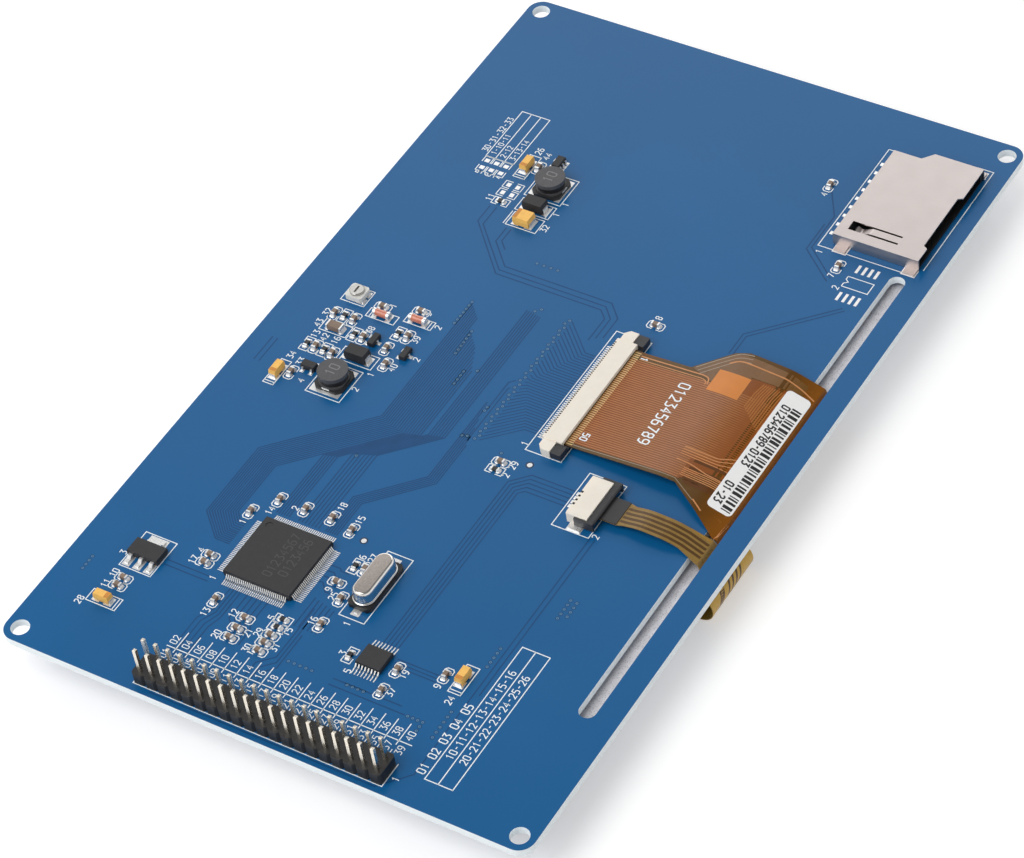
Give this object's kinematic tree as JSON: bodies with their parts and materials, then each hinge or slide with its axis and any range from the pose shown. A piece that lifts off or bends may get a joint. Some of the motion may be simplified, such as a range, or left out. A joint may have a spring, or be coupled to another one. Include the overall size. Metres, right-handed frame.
{
  "type": "lcd display module",
  "caption": "Touch display panel on a carrier board, with controller chip, pin header, card socket and two flex circuits; latches and trimmer move.",
  "frame": {"origin": "centre of the touch panel's front face, which lies on z = 0", "axes": "+X along the long side, away from the pin header; +Y along the short side, away from the slot in the board; +Z from the touch face towards the component side"},
  "size_m": [0.182, 0.108, 0.0162],
  "materials": {
    "board_mask": "glossy solder mask over glass-fibre laminate",
    "housing_black": "matt moulded",
    "pin_gold": "thin gold plating",
    "package_black": "fine matt moulding compound",
    "tinned_metal": "dull tin plating",
    "can_metal": "drawn, lightly brushed",
    "stainless_sheet": "bright stainless sheet",
    "connector_ivory": "satin moulded",
    "latch_black": "satin moulded",
    "flex_amber": "polyimide film over copper",
    "label_white": "matt paper",
    "stiffener_black": "satin film",
    "ferrite_grey": "sintered ferrite",
    "winding_copper": "varnished copper wire",
    "tantalum_amber": "moulded resin with a dark end band",
    "ceramic_tan": "fired ceramic",
    "resistor_black": "glazed",
    "diode_glass": "glass over a coloured die",
    "trimmer_white": "moulded",
    "foam_black": "closed-cell foam tape",
    "display_sheet": "rolled thin sheet",
    "frame_black": "moulded frame",
    "reflector_white": "mirror-like white film",
    "guide_clear": "clear acrylic plate",
    "strip_white": "white coated strip",
    "led_package": "moulded package",
    "diffuser_white": "frosted film",
    "polarizer_dark": "dark film",
    "cell_glass": "thin glass",
    "panel_glass": "clear glass",
    "gasket_white": "adhesive frame",
    "front_film": "clear hard-coated film"
  },
  "bodies": {
    "module": {"main_board": "board_mask", "header_housing": "housing_black", "header_pins": "pin_gold", "controller_body": "package_black", "controller_leads": "tinned_metal", "touch_controller_body": "package_black", "touch_controller_leads": "tinned_metal", "regulator_body": "package_black", "regulator_leads": "tinned_metal", "crystal_can": "can_metal", "crystal_base": "housing_black", "crystal_leads": "tinned_metal", "card_socket_shell": "stainless_sheet", "card_socket_body": "housing_black", "card_socket_contacts": "pin_gold", "lcd_connector_body": "connector_ivory", "lcd_connector_contacts": "tinned_metal", "touch_connector_body": "connector_ivory", "touch_connector_contacts": "tinned_metal", "display_flex": "flex_amber", "display_flex_label": "label_white", "touch_flex": "flex_amber", "touch_flex_stiffener": "stiffener_black", "inductor_cores": "ferrite_grey", "inductor_windings": "winding_copper", "inductor_terminals": "tinned_metal", "rectifier_bodies": "package_black", "rectifier_leads": "tinned_metal", "tantalum_bodies": "tantalum_amber", "tantalum_terminals": "tinned_metal", "chip_capacitors": "ceramic_tan", "chip_resistors": "resistor_black", "chip_ends": "tinned_metal", "glass_diodes": "diode_glass", "glass_diode_caps": "tinned_metal", "transistor_bodies": "package_black", "transistor_leads": "tinned_metal", "driver_bodies": "package_black", "driver_leads": "tinned_metal", "trimmer_base": "trimmer_white", "trimmer_terminals": "tinned_metal", "foam_tape": "foam_black", "rear_shell": "display_sheet", "backlight_frame": "frame_black", "reflector_sheet": "reflector_white", "light_guide": "guide_clear", "led_strip": "strip_white", "backlight_leds": "led_package", "diffuser_sheets": "diffuser_white", "rear_polarizer": "polarizer_dark", "rear_glass": "cell_glass", "front_glass": "cell_glass", "front_polarizer": "polarizer_dark", "front_bezel": "display_sheet", "touch_gasket": "gasket_white", "touch_glass": "panel_glass", "touch_film": "front_film"},
    "trimmer_rotor": {"trimmer_rotor": "tinned_metal"},
    "lcd_latch": {"lcd_connector_latch": "latch_black"},
    "touch_latch": {"touch_connector_latch": "latch_black"}
  },
  "joints": [
    {"name": "trimmer_turn", "type": "hinge", "parent": "module", "child": "trimmer_rotor", "pos_m": [0.00555, 0.0411, 0.0095], "axis": [0, 0, 1], "range_deg": [-130, 130]},
    {"name": "lcd_latch_slide", "type": "slide", "parent": "module", "child": "lcd_latch", "axis": [0, -1, 0], "range_m": [0, 0.0012]},
    {"name": "touch_latch_slide", "type": "slide", "parent": "module", "child": "touch_latch", "axis": [0, -1, 0], "range_m": [0, 0.0012]}
  ]
}
